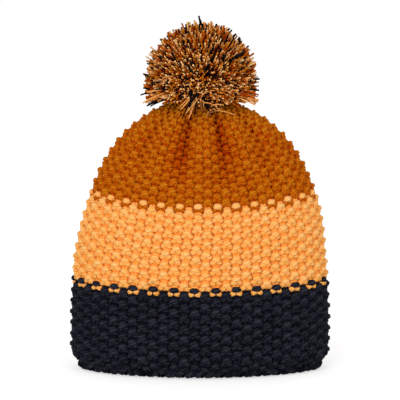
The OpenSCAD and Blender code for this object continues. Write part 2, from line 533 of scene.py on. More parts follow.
    def grow(self, host: bpy.types.Mesh, name: str, values: dict[str, Any]) -> bpy.types.Object:
        """Run the tree on a mesh and keep the result as a plain piece.

        Args:
            host: Mesh that the tree starts from.
            name: Name of the piece.
            values: The tree's inputs, by name.

        Returns:
            The piece, with no modifier.
        """
        carrier = bpy.data.objects.new(name + "_carrier", host)
        bpy.context.scene.collection.objects.link(carrier)
        modifier = carrier.modifiers.new("grow", "NODES")
        modifier.node_group = self.tree
        for key, value in values.items():
            modifier[self.identifiers[key]] = value
        depsgraph = bpy.context.evaluated_depsgraph_get()
        grown = carrier.evaluated_get(depsgraph)
        mesh = bpy.data.meshes.new_from_object(grown, preserve_all_data_layers=True, depsgraph=depsgraph)
        carrier.modifiers.remove(modifier)
        bpy.data.objects.remove(carrier)
        mesh.name = name
        return put(name, mesh)


def put(name: str, mesh: bpy.types.Mesh) -> bpy.types.Object:
    """Place a mesh in the scene as a piece.

    Args:
        name: Name of the piece.
        mesh: Its mesh, with its place in it.

    Returns:
        The piece.
    """
    piece = bpy.data.objects.new(name, mesh)
    bpy.context.scene.collection.objects.link(piece)
    return piece


def mark(mesh: bpy.types.Mesh, name: str, kind: str, values: np.ndarray) -> None:
    """Write an attribute on the points of a mesh.

    Args:
        mesh: The mesh.
        name: Name of the attribute.
        kind: FLOAT or FLOAT_VECTOR.
        values: Its values, in the order of the points.
    """
    part = "vector" if kind == "FLOAT_VECTOR" else "value"
    mesh.attributes.new(name, kind, "POINT").data.foreach_set(part, values.astype(np.float32).reshape(-1))


def hand_over(piece: bpy.types.Object, body: Body, dye: Dye, *nodes: str) -> None:
    """Give a piece its body and the solids that it stands for.

    Args:
        piece: The piece.
        body: Body that it rides on.
        dye: Colour of its yarn; not used.
        nodes: Names of the solids that it replaces.
    """
    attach(piece, body.value)
    if nodes:
        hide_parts(*nodes)
    report(piece)


def report(piece: bpy.types.Object) -> None:
    """Tell the log what a piece came to."""
    triangles = sum(len(face.vertices) - 2 for face in piece.data.polygons)
    LOG.info("%s: %d triangles", piece.name, triangles)


@dataclass(frozen=True)
class HatShape:
    """Sizes of the hat's wall, and the surface that they give."""

    half_width: float = 0.115
    half_depth: float = 0.058
    top: float = 0.242
    oval_power: float = 1.8
    dome_power: float = 3.25
    side_lift: float = 0.0075
    hem_height: float = 0.011
    hem_inset: float = 0.005
    brim_height: float = 0.066
    middle_height: float = 0.073
    eye: float = 0.013
    pleats: int = 12
    pleat_depth: float = 0.004
    pleat_start: float = 0.1
    pleat_skew: float = 1.4
    pleat_round: float = 0.8
    ridge: float = 0.35
    crease_width: float = math.radians(7.0)
    crease_depth: float = 0.7
    crease_ahead: float = 1.5
    crease_spread: float = 0.35
    crease_stray: float = 0.4
    crease_full: float = 1.8
    lean: float = 0.0026
    lean_from: float = 0.1
    lean_to: float = 0.145
    lean_back: float = 0.02

    def eye_height(self, inset: float) -> float:
        """Height of the eye's rim on the surface that lies some way inside the outside."""
        across = 1 - (self.eye / (self.half_width - inset)) ** 2
        return (self.top - inset) * across ** (1 / self.dome_power)

    @property
    def rise(self) -> float:
        """Height from the cast-on edge's top to the eye, on the outside."""
        return self.eye_height(0.0) - self.hem_height

    @property
    def brim_top(self) -> float:
        """Share of the rise at the brim's upper border."""
        return self.brim_height / self.rise

    @property
    def middle_top(self) -> float:
        """Share of the rise at the middle band's upper border."""
        return (self.brim_height + self.middle_height) / self.rise

    def gather(self, share: np.ndarray) -> np.ndarray:
        """Depth of the gathers at a share of the rise."""
        start = self.middle_top + self.pleat_start * (1 - self.middle_top)
        climb = np.clip((share - start) / (1 - start), 0.0, 1.0)
        return self.pleat_depth * np.sin(math.pi * climb**self.pleat_skew) ** self.pleat_round

    def fold(self, angle: np.ndarray) -> np.ndarray:
        """Profile of the gathers round the crown: broad low ridges, with the deepest creases in front."""
        return self.ridge * np.cos(self.pleats * angle) - self.creases(angle)

    def pinch(self, share: np.ndarray, angle: np.ndarray) -> np.ndarray:
        """How far a place lies in a crease, from 0 to 1."""
        depth = self.gather(share) / self.pleat_depth * self.creases(angle)
        return np.clip(depth / self.crease_full, 0.0, 1.0)

    def creases(self, angle: np.ndarray) -> np.ndarray:
        """Depth of the creases round the crown, as shares of the gathers' depth."""
        total = np.zeros_like(angle)
        for crease in range(self.pleats):
            middle = (crease + 0.5) * TURN / self.pleats
            aside = (angle - middle + math.pi) % TURN - math.pi
            ahead = math.exp(-(((middle - FRONT) / self.crease_spread) ** 2))
            stray = math.sin(STRAY_STEP * crease)
            depth = self.crease_depth + self.crease_ahead * ahead + self.crease_stray * stray
            total = total + depth * np.exp(-((aside / self.crease_width) ** 2))
        return total

    def surface(self, inset: np.ndarray, share: np.ndarray, angle: np.ndarray, folded: bool) -> np.ndarray:
        """Points of the surface some way inside the outside.

        Args:
            inset: Distance inside the outside.
            share: Share of the rise, 0 at the top of the cast-on edge and 1 at the eye.
            angle: Angle round the hat in radians, with the front at 270 degrees.
            folded: Whether the crown has its gathers.

        Returns:
            The points, with the three coordinates last.
        """
        width, depth, top = self.half_width - inset, self.half_depth - inset, self.top - inset
        cosine, sine = np.cos(angle), np.sin(angle)
        lift = self.side_lift * LIFT_PEAK * share * share * (1 - share)
        rim = top * (1 - (self.eye / width) ** 2) ** (1 / self.dome_power)
        z = self.hem_height + (rim - self.hem_height) * share + lift * cosine * cosine
        narrow = np.sqrt(np.maximum(1e-6, 1 - (np.maximum(z, 0.0) / top) ** self.dome_power))
        least = self.eye / width
        power = 2 / (2 + (self.oval_power - 2) * (narrow - least) / (1 - least))
        rounding = np.log(self.eye / depth) / np.log(least)
        wave = self.gather(share) * self.fold(angle) if folded else 0.0
        tilt = np.clip((z - self.lean_from) / (self.lean_to - self.lean_from), 0.0, 1.0)
        back = np.clip((self.top - z) / self.lean_back, 0.0, 1.0)
        x = (width * narrow + wave) * np.sign(cosine) * np.abs(cosine) ** power + self.lean * tilt * back
        y = (depth * narrow**rounding + wave) * np.sign(sine) * np.abs(sine) ** power
        return np.stack([x, y, z + 0 * x], axis=-1)


@dataclass
class HatForm:
    """Middle of the knitted wall, laid out in courses and stitches, which the yarn follows."""

    shape: HatShape = field(default_factory=HatShape)
    stitches: int = 58
    inset: float = 0.0048
    hem_courses: int = 3
    brim_courses: int = 14
    middle_courses: int = 16
    crown_courses: int = 24
    per_stitch: int = 3
    per_course: int = 2
    spare_courses: int = 1
    hem_step: float = 0.7
    round_steps: int = 1441
    crown_steps: int = 129
    eye_inward: float = 0.6
    eye_down: float = 0.8

    @property
    def brim_start(self) -> int:
        """First course of the brim."""
        return self.hem_courses

    @property
    def middle_start(self) -> int:
        """First course of the middle band."""
        return self.brim_start + self.brim_courses

    @property
    def crown_start(self) -> int:
        """First course of the crown."""
        return self.middle_start + self.middle_courses

    @property
    def courses(self) -> int:
        """Courses from the cast-on edge to the eye."""
        return self.crown_start + self.crown_courses

    def angles(self, inset: float, share: float, around: np.ndarray) -> np.ndarray:
        """Angles of evenly spaced places round the hat, from the back seam.

        Args:
            inset: Distance inside the outside.
            share: Share of the rise.
            around: Places round the hat, from 0 to 1.

        Returns:
            Angles in radians.
        """
        dense = math.pi / 2 + np.linspace(0, TURN, self.round_steps)
        line = self.shape.surface(np.full_like(dense, inset), np.full_like(dense, share), dense, False)
        steps = np.linalg.norm(np.diff(line, axis=0), axis=1)
        run = np.concatenate([[0.0], np.cumsum(steps)])
        return np.interp(around % 1.0, run / run[-1], dense)

    def ring(self, inset: float, share: float, around: np.ndarray) -> np.ndarray:
        """Points of one course, evenly spaced round the hat, each with how far it lies in a crease."""
        angle = self.angles(inset, share, around)
        shares = np.full_like(angle, share)
        spots = self.shape.surface(np.full_like(angle, inset), shares, angle, True)
        return np.column_stack([spots, self.shape.pinch(shares, angle)])

    def body_rings(self, levels: np.ndarray, around: np.ndarray) -> list[np.ndarray]:
        """Points of the cast-on edge, the brim and the middle band.

        Args:
            levels: Course numbers below the crown.
            around: Places round the hat.

        Returns:
            One ring of points for each course number.
        """
        shape, half = self.shape, self.inset
        knots = [-1.0, float(self.brim_start), float(self.middle_start), float(self.crown_start)]
        low = -shape.hem_height / shape.rise * (1 + 1 / self.hem_courses)
        shares = np.interp(levels, knots, [low, 0.0, shape.brim_top, shape.middle_top])
        step = np.clip(self.brim_start + self.hem_step - levels, 0.0, 1.0)
        insets = half + shape.hem_inset * step * step * (3 - 2 * step)
        return [self.ring(float(inset), float(share), around) for inset, share in zip(insets, shares)]

    def crown_rings(self, levels: np.ndarray, around: np.ndarray) -> list[np.ndarray]:
        """Points of the crown, with the courses evenly spaced up each wale.

        Args:
            levels: Course numbers of the crown.
            around: Places round the hat.

        Returns:
            One ring of points for each course number.
        """
        shape, half = self.shape, self.inset
        shares = np.linspace(shape.middle_top, 1.0, self.crown_steps)
        fine = np.array([self.ring(half, float(share), around) for share in shares])
        steps = np.linalg.norm(np.diff(fine[:, :, :3], axis=0), axis=2)
        run = np.concatenate([np.zeros((1, len(around))), np.cumsum(steps, axis=0)])
        wanted = (levels - self.crown_start) / self.crown_courses
        rings = np.empty((len(levels), len(around), 4))
        for column in range(len(around)):
            share = run[:, column] / run[-1, column]
            for axis in range(4):
                rings[:, column, axis] = np.interp(wanted, share, fine[:, column, axis])
        past = np.maximum(wanted - 1.0, 0.0)[:, None] * run[-1]
        inward = -fine[-1] / np.linalg.norm(fine[-1][:, :2], axis=1)[:, None]
        rings[:, :, :2] += self.eye_inward * past[:, :, None] * inward[None, :, :2]
        rings[:, :, 2] -= self.eye_down * past
        return list(rings)

    def mesh(self) -> bpy.types.Mesh:
        """Make the form's mesh.

        Returns:
            A grid with the UV map `courses`, the outward direction `out`, the stitch's width `width` and
            `pinch`, which tells how far a place lies in a crease.
        """
        columns = (self.stitches + 2) * self.per_stitch + 1
        around = (np.arange(columns) / self.per_stitch - 1) / self.stitches
        levels = np.arange((self.courses + 2 * self.spare_courses) * self.per_course + 1)
        levels = levels / self.per_course - self.spare_courses
        rings = self.body_rings(levels[levels < self.crown_start], around)
        rings += self.crown_rings(levels[levels >= self.crown_start], around)
        rings = np.array(rings)
        grid, pinch = rings[:, :, :3], rings[:, :, 3]
        across = np.gradient(grid, axis=1)
        upward = np.gradient(grid, axis=0)
        out = np.cross(across, upward)
        out /= np.maximum(np.linalg.norm(out, axis=2, keepdims=True), 1e-12)
        width = np.linalg.norm(across, axis=2) * self.per_stitch
        made = self.grid_mesh(grid, around, levels)
        mark(made, "out", "FLOAT_VECTOR", out)
        mark(made, "width", "FLOAT", width)
        mark(made, "pinch", "FLOAT", pinch)
        return made

    def grid_mesh(self, grid: np.ndarray, around: np.ndarray, levels: np.ndarray) -> bpy.types.Mesh:
        """Turn the grid of points into a mesh with its map.

        Args:
            grid: The points, by course and place round the hat.
            around: Places round the hat.
            levels: Course numbers.

        Returns:
            The mesh.
        """
        rows, columns = grid.shape[:2]
        number = np.arange(rows * columns).reshape(rows, columns)
        corners = [number[:-1, :-1], number[:-1, 1:], number[1:, 1:], number[1:, :-1]]
        faces = np.stack(corners, axis=-1).reshape(-1, 4)
        mesh = bpy.data.meshes.new("hat_form")
        mesh.from_pydata(grid.reshape(-1, 3).tolist(), [], faces.tolist())
        place = np.stack(np.meshgrid(around, levels / self.courses), axis=-1).reshape(-1, 2)
        layer = mesh.uv_layers.new(name="courses")
        layer.uv.foreach_set("vector", place[faces.reshape(-1)].astype(np.float32).reshape(-1))
        return mesh


class FormYarn(Graph):
    """Tree whose yarn lies on the hat's form."""

    def __init__(self, name: str) -> None:
        """Start the tree with the inputs that all such yarn has.

        Args:
            name: Name of the tree.
        """
        super().__init__(name)
        self.stitches = self.entry("Stitches", Socket.WHOLE)
        self.courses = self.entry("Courses", Socket.WHOLE)
        self.points = self.entry("Points", Socket.WHOLE)
        self.sides = self.entry("Sides", Socket.WHOLE)
        self.radius = self.entry("Yarn Radius")
        self.seed = self.entry("Seed", Socket.WHOLE)
        self.material = self.entry("Finish", Socket.MATERIAL)

    def sampled(self, value: Field, kind: str, column: Field, course: Field) -> Field:
        """Read the form at a place given in stitches and courses.

        Args:
            value: What to read.
            kind: FLOAT or FLOAT_VECTOR.
            column: Place round the hat, in stitches from the back seam.
            course: Height, in courses from the cast-on edge.

        Returns:
            The value there.
        """
        inputs = {
            "Mesh": self.host,
            "Value": value,
            "UV Map": self.named("courses", "FLOAT_VECTOR"),
            "Sample UV": self.vector(column / self.stitches, course / self.courses, 0.0),
        }
        return self.node("GeometryNodeSampleUVSurface", inputs, "Value", data_type=kind)

    def lay(
        self,
        count: Field,
        group: Field,
        column: Field,
        course: Field,
        depth: Field,
        swell: Field,
        shade: Field,
    ) -> None:
        """Lay yarn through places on the form.

        Args:
            count: Number of points.
            group: Number of the yarn that each point belongs to.
            column: Place round the hat, in stitches.
            course: Height, in courses.
            depth: Distance outward from the middle of the wall.
            swell: Share of the yarn's radius.
            shade: Tone of the yarn, darker below 0 and lighter above it.
        """
        spot = self.sampled(self.node("GeometryNodeInputPosition", {}), "FLOAT_VECTOR", column, course)
        out = self.sampled(self.named("out", "FLOAT_VECTOR"), "FLOAT_VECTOR", column, course)
        points = self.node("GeometryNodePoints", {"Count": count, "Position": self.shifted(spot, out, depth)})
        points = self.stored(points, "thick", swell)
        points = self.stored(points, "shade", shade)
        self.tubes(points, group, self.sides, self.radius, self.material)


class SeedStitch(FormYarn):
    """Courses of seed stitch: each loop is worked to the front or the back in turn, like a chequerboard."""

    # Waves that a loop is made of: how often each repeats along it, and its weight.
    SIDEWAYS = {1: 0.09, 2: 0.1, 3: -0.0624}
    UPWARD = {1: 1.0, 3: -0.16}
    OUTWARD = {2: 0.1, 1: -0.85, 3: -0.05}
    # How soon a loop comes clear of the crossing with its neighbour.
    CLEARING = 0.35
    # Chance in the loops' places, depth, thickness and tone.
    STRAY_COLUMN = 0.05
    STRAY_COURSE = 0.07
    STRAY_DEPTH = 0.12
    STRAY_SWELL = 0.05
    STRAY_SHADE = 0.2
    # Width of the seam's groove in stitches, and the yarn's thickness in crowded stitches and creases.
    GROOVE = 0.7
    CROWDED = 1.2
    THINNEST = 0.42
    PINCHED = 0.1
    # Painted shade and light: the yarn lighter at the front of a loop and darker behind it, darker at the
    # crossings and in the creases.
    SHADE_DEPTH = 0.6
    SHADE_BEHIND = 1.5
    SHADE_CROSSING = 0.9
    SHADE_CREASE = 1.15

    def __init__(self) -> None:
        """Write the tree."""
        super().__init__("seed_stitch")
        first = self.entry("First Course")
        rows = self.entry("Rows", Socket.WHOLE)
        depth = self.entry("Loop Depth")
        height = self.entry("Loop Height")
        nominal = self.entry("Stitch Width")
        sink = self.entry("Seam Sink")
        fill = self.entry("Fill")
        puff = self.entry("Puff")
        foot = self.entry("Foot")
        squeeze = self.entry("Squeeze")
        # Painted light: the yarn grows lighter toward the band's top, against the pom's shadow on the crown.
        lift = self.entry("Lift")
        dip = self.entry("Crossing Dip")
        per_row = self.stitches * self.points
        index = self.index()
        row = (index / per_row).floor()
        along = index - row * per_row
        stitch = (along / self.points).floor()
        t = along / self.points - stitch
        key = row * self.stitches + stitch
        stray = [self.stray(key, self.seed + n) for n in range(4)]
        sway = (t * math.pi).sin().most(0.0) ** self.CLEARING
        crossing = 1.0 - sway
        parity = 1.0 - 2.0 * ((stitch + row + first) % 2.0)
        x = t - 0.5 + self.sines(t, self.SIDEWAYS)
        y = 0.5 - height * self.cosines(t, self.UPWARD)
        bow = self.cosines(t, self.OUTWARD)
        bow = bow + foot * bow.least(0.0)
        side = parity * bow * sway
        column = stitch + 0.5 + x + self.STRAY_COLUMN * stray[0] * sway
        course = first + row + y + self.STRAY_COURSE * stray[1] * sway
        seam = column.least(self.stitches - column)
        groove = sink * (seam / self.GROOVE).bell()
        pinch = self.sampled(self.named("pinch"), "FLOAT", column, course)
        level = depth * side * (1.0 + self.STRAY_DEPTH * stray[2]) - groove - squeeze * pinch - dip * crossing
        crowd = self.sampled(self.named("width"), "FLOAT", column, course) / nominal
        plump = 1.0 + fill * (0.0 - side).most(0.0) + puff * side.most(0.0) * (bow > 0.0)
        swell = (self.CROWDED * crowd).least(1.0).most(self.THINNEST) * plump
        swell = swell * (1.0 + self.STRAY_SWELL * stray[3] * sway) * (1.0 - self.PINCHED * pinch)
        # Tone: a random part, then painted shade behind the loops, at the crossings and in the creases,
        # painted light at the loops' fronts, and the lift's painted light toward the band's top.
        shade = self.STRAY_SHADE * stray[3] * sway + self.SHADE_DEPTH * side
        shade = shade + self.SHADE_BEHIND * side.least(0.0) - self.SHADE_CROSSING * crossing
        shade = shade - self.SHADE_CREASE * pinch + lift * row / rows
        self.lay(rows * per_row, row, column, course, level, swell, shade)

    @staticmethod
    def sines(t: Field, waves: dict[int, float]) -> Field:
        """Sum of sine waves at a place along a loop."""
        return sum(weight * (t * (times * TURN)).sin() for times, weight in waves.items())

    @staticmethod
    def cosines(t: Field, waves: dict[int, float]) -> Field:
        """Sum of cosine waves at a place along a loop."""
        return sum(weight * (t * (times * TURN)).cos() for times, weight in waves.items())


class EdgeWrap(FormYarn):
    """Cast-on edge: yarn that winds once round the rim for each stitch, with a nick after every other one."""

    NICK_WIDTH = 0.2
    STRAY_SWELL = 0.04

    def __init__(self) -> None:
        """Write the tree."""
        super().__init__("cast_on_wrap")
        level = self.entry("Course")
        wrap = self.entry("Wrap Radius")
        height = self.entry("Course Height")
        nick = self.entry("Nick")
        index = self.index()
        place = index / self.points
        turn = place * TURN
        stray = self.stray(place.floor(), self.seed)
        dip = nick * ((place % 2.0 - 1.0) / self.NICK_WIDTH).bell()
        course = level + (wrap * turn.sin() + dip) / height
        depth = wrap * turn.cos()
        swell = 1.0 + self.STRAY_SWELL * stray
        self.lay(self.stitches * self.points, index * 0.0, place, course, depth, swell, stray)


class SeamStitch(FormYarn):
    """Sewing yarn of the back seam: it winds up the inside, one turn for each course."""

    # Narrowest stitch that the seam's width is measured by, as a share of a stitch in the brim.
    NARROWEST = 0.2

    def __init__(self) -> None:
        """Write the tree."""
        super().__init__("seam_stitch")
        first = self.entry("First Course")
        rows = self.entry("Rows", Socket.WHOLE)
        wrap = self.entry("Wrap Radius")
        inside = self.entry("Inside")
        nominal = self.entry("Stitch Width")
        index = self.index()
        place = index / self.points
        turn = place * TURN
        crowd = self.sampled(self.named("width"), "FLOAT", place * 0.0, first + place)
        column = wrap * turn.cos() / crowd.most(nominal * self.NARROWEST)
        depth = wrap * turn.sin() - inside
        shade = self.stray(place.floor(), self.seed)
        self.lay(rows * self.points + 1, index * 0.0, column, first + place, depth, 1.0 + 0.0 * index, shade)


@dataclass(frozen=True)
class Band:
    """One band of knitting."""

    name: str
    dye: Dye
    first: int
    rows: int
    nodes: tuple[str, ...]
    yarn_radius: float = 0.0024
    loop_depth: float = 0.0024
    loop_height: float = 1.0
    foot: float = 1.2
    # Painted light that lightens the yarn toward the band's top.
    lift: float = 0.0


@dataclass
class KnittedHat:
    """The hat's knitting, its cast-on edge and its back seam."""

    form: HatForm
    points: int = 14
    sides: int = 6
    seam_sink: float = 0.0025
    squeeze: float = 0.001
    crossing_dip: float = 0.003
    fill: float = 0.32
    puff: float = 0.1
    edge_radius: float = 0.0022
    edge_wrap: float = 0.0014
    edge_nick: float = 0.0012
    seam_radius: float = 0.0014
    seam_wrap: float = 0.0011
    seam_inside: float = 0.0071
    seam_stop: int = 4
    hem_radius: float = 0.0023
    hem_depth: float = 0.0013
    hem_loop: float = 0.95
    brim_radius: float = 0.00255
    crown_depth: float = 0.0023
    gather_rows: int = 13
    gather_depth: float = 0.0019
    # Painted light on the crown's gathers, growing toward the eye.
    gather_painted_light: float = 0.95
    seed_step: int = 10
    edge_seed: int = 70
    seam_seed: int = 80

    def bands(self) -> list[Band]:
        """List the bands from the cast-on edge to the eye."""
        form = self.form
        smooth = form.crown_courses - self.gather_rows
        edge, brim, middle, crown = ("cast_on_edge",), ("brim_knit",), ("middle_knit",), ("crown_knit",)
        thick = {"yarn_radius": self.brim_radius}
        flat = {"yarn_radius": self.hem_radius, "loop_depth": self.hem_depth, "loop_height": self.hem_loop}
        drawn = {"loop_depth": self.gather_depth, "lift": self.gather_painted_light}
        return [
            Band("hem_rows", Dye.NAVY, 1, form.hem_courses - 1, edge, **flat),
            Band("brim_rows", Dye.NAVY, form.brim_start, form.brim_courses, brim, **thick),
            Band("middle_rows", Dye.APRICOT, form.middle_start, form.middle_courses, middle),
            Band("crown_rows", Dye.OCHRE, form.crown_start, smooth, crown, loop_depth=self.crown_depth),
            Band("crown_gathers", Dye.OCHRE, form.crown_start + smooth, self.gather_rows, crown, **drawn),
        ]

    def common(self, dye: Dye, radius: float, seed: int) -> dict[str, Any]:
        """Inputs that all yarn on the form takes."""
        return {
            "Stitches": self.form.stitches,
            "Courses": self.form.courses,
            "Points": self.points,
            "Sides": self.sides,
            "Yarn Radius": radius,
            "Seed": seed,
            "Finish": KNITTING[dye].material(),
        }

    def build(self) -> None:
        """Knit the bands, then make the edge and the seam."""
        host = self.form.mesh()
        nominal = self.stitch_width()
        self.knit(host, nominal)
        self.cast_on(host)
        self.sew(host, nominal)
        bpy.data.meshes.remove(host)

    def stitch_width(self) -> float:
        """Width of a stitch in the middle of the brim."""
        around = np.linspace(0, 1, 721)
        ring = self.form.ring(self.form.inset, self.form.shape.brim_top / 2, around)
        return float(np.linalg.norm(np.diff(ring[:, :3], axis=0), axis=1).sum() / self.form.stitches)

    def knit(self, host: bpy.types.Mesh, nominal: float) -> None:
        """Knit the bands.

        Args:
            host: The form.
            nominal: Width of a stitch in the brim.
        """
        tree = SeedStitch()
        for seed, band in enumerate(self.bands()):
            values = self.common(band.dye, band.yarn_radius, self.seed_step * seed)
            values |= {
                "First Course": float(band.first),
                "Rows": band.rows,
                "Loop Depth": band.loop_depth,
                "Loop Height": band.loop_height,
                "Stitch Width": nominal,
                "Seam Sink": self.seam_sink,
                "Fill": self.fill,
                "Puff": self.puff,
                "Foot": band.foot,
                "Squeeze": self.squeeze,
                "Lift": band.lift,
                "Crossing Dip": self.crossing_dip,
            }
            hand_over(tree.grow(host, band.name, values), Body.HAT, band.dye, *band.nodes)

    def cast_on(self, host: bpy.types.Mesh) -> None:
        """Wind the cast-on edge."""
        height = self.form.shape.hem_height / self.form.hem_courses
        values = self.common(Dye.NAVY, self.edge_radius, self.edge_seed)
        values |= {
            "Course": (self.edge_radius + self.edge_wrap) / height,
            "Wrap Radius": self.edge_wrap,
            "Course Height": height,
            "Nick": self.edge_nick,
        }
        hand_over(EdgeWrap().grow(host, "hem_edge", values), Body.HAT, Dye.NAVY, "cast_on_edge")

    def sew(self, host: bpy.types.Mesh, nominal: float) -> None:
        """Sew the back seam, a length of yarn for each band."""
        tree, form = SeamStitch(), self.form
        runs = [
            (Dye.NAVY, form.brim_start, form.brim_courses),
            (Dye.APRICOT, form.middle_start, form.middle_courses),
            (Dye.OCHRE, form.crown_start, form.crown_courses - self.seam_stop),
        ]
        for seed, (dye, first, rows) in enumerate(runs):
            values = self.common(dye, self.seam_radius, self.seam_seed + seed)
            values |= {
                "First Course": float(first),
                "Rows": rows,
                "Wrap Radius": self.seam_wrap,
                "Inside": self.seam_inside,
                "Stitch Width": nominal,
            }
            piece = tree.grow(host, f"seam_yarn_{dye.word}", values)
            hand_over(piece, Body.HAT, dye, f"back_seam_{dye.word}")


@dataclass
class YarnPath:
    """Yarn along a list of points, made as a plain mesh."""

    sides: int = 10
    steep: float = 0.8

    def mesh(self, name: str, runs: Sequence[Run], finish: YarnFinish) -> bpy.types.Mesh:
        """Make one mesh of several lengths of yarn.

        Args:
            name: Name of the mesh.
            runs: For each length its points, its radius at each point, and whether it is a closed ring.
            finish: Finish of the yarn.

        Returns:
            The mesh, with the attributes that the finish reads.
        """
        verts: list[np.ndarray] = []
        faces: list[list[int]] = []
        yarn: list[np.ndarray] = []
        start = 0
        for points, radius, closed in runs:
            spots, marks = self.rings(points, radius, closed)
            count = len(points)
            for ring in range(count if closed else count - 1):
                low, high = start + ring * self.sides, start + (ring + 1) % count * self.sides
                for side in range(self.sides):
                    after = (side + 1) % self.sides
                    faces.append([low + side, low + after, high + after, high + side])
            if not closed:
                faces.append([start + side for side in reversed(range(self.sides))])
                last = start + (count - 1) * self.sides
                faces.append([last + side for side in range(self.sides)])
            verts.append(spots)
            yarn.append(marks)
            start += count * self.sides
        made = bpy.data.meshes.new(name)
        made.from_pydata(np.concatenate(verts).tolist(), [], faces)
        mark(made, "yarn", "FLOAT_VECTOR", np.concatenate(yarn))
        made.attributes.new("shade", "FLOAT", "POINT")
        made.shade_smooth()
        made.materials.append(finish.material())
        return made

    def rings(self, points: np.ndarray, radius: np.ndarray, closed: bool) -> tuple[np.ndarray, np.ndarray]:
        """Place the rings of points round one length of yarn.

        Args:
            points: Middle of the yarn.
            radius: Radius at each point.
            closed: Whether it is a closed ring.

        Returns:
            The ring points, and for each its distance along and the cosine and sine of its angle.
        """
        if closed:
            ahead, behind = np.roll(points, -1, axis=0), np.roll(points, 1, axis=0)
        else:
            ahead = np.concatenate([points[1:], points[-1:]])
            behind = np.concatenate([points[:1], points[:-1]])
        run = ahead - behind
        run /= np.linalg.norm(run, axis=1, keepdims=True)
        side = np.zeros_like(run)
        guess = np.array([1.0, 0.0, 0.0]) if abs(run[0][0]) < self.steep else np.array([0.0, 1.0, 0.0])
        for at, way in enumerate(run):
            guess = guess - way * np.dot(guess, way)
            guess = guess / np.linalg.norm(guess)
            side[at] = guess
        up = np.cross(run, side)
        if closed:
            slip = math.atan2(np.dot(side[0], up[-1]), np.dot(side[0], side[-1]))
            turn = np.linspace(0, slip, len(points))[:, None]
            side, up = side * np.cos(turn) + up * np.sin(turn), up * np.cos(turn) - side * np.sin(turn)
        angle = np.arange(self.sides) * TURN / self.sides
        cosine, sine = np.cos(angle), np.sin(angle)
        spokes = cosine[None, :, None] * side[:, None, :] + sine[None, :, None] * up[:, None, :]
        spots = points[:, None, :] + radius[:, None, None] * spokes
        length = np.concatenate([[0.0], np.cumsum(np.linalg.norm(np.diff(points, axis=0), axis=1))])
        marks = np.empty_like(spots)
        marks[:, :, 0] = length[:, None]
        marks[:, :, 1] = cosine[None, :]
        marks[:, :, 2] = sine[None, :]
        return spots.reshape(-1, 3), marks.reshape(-1, 3)


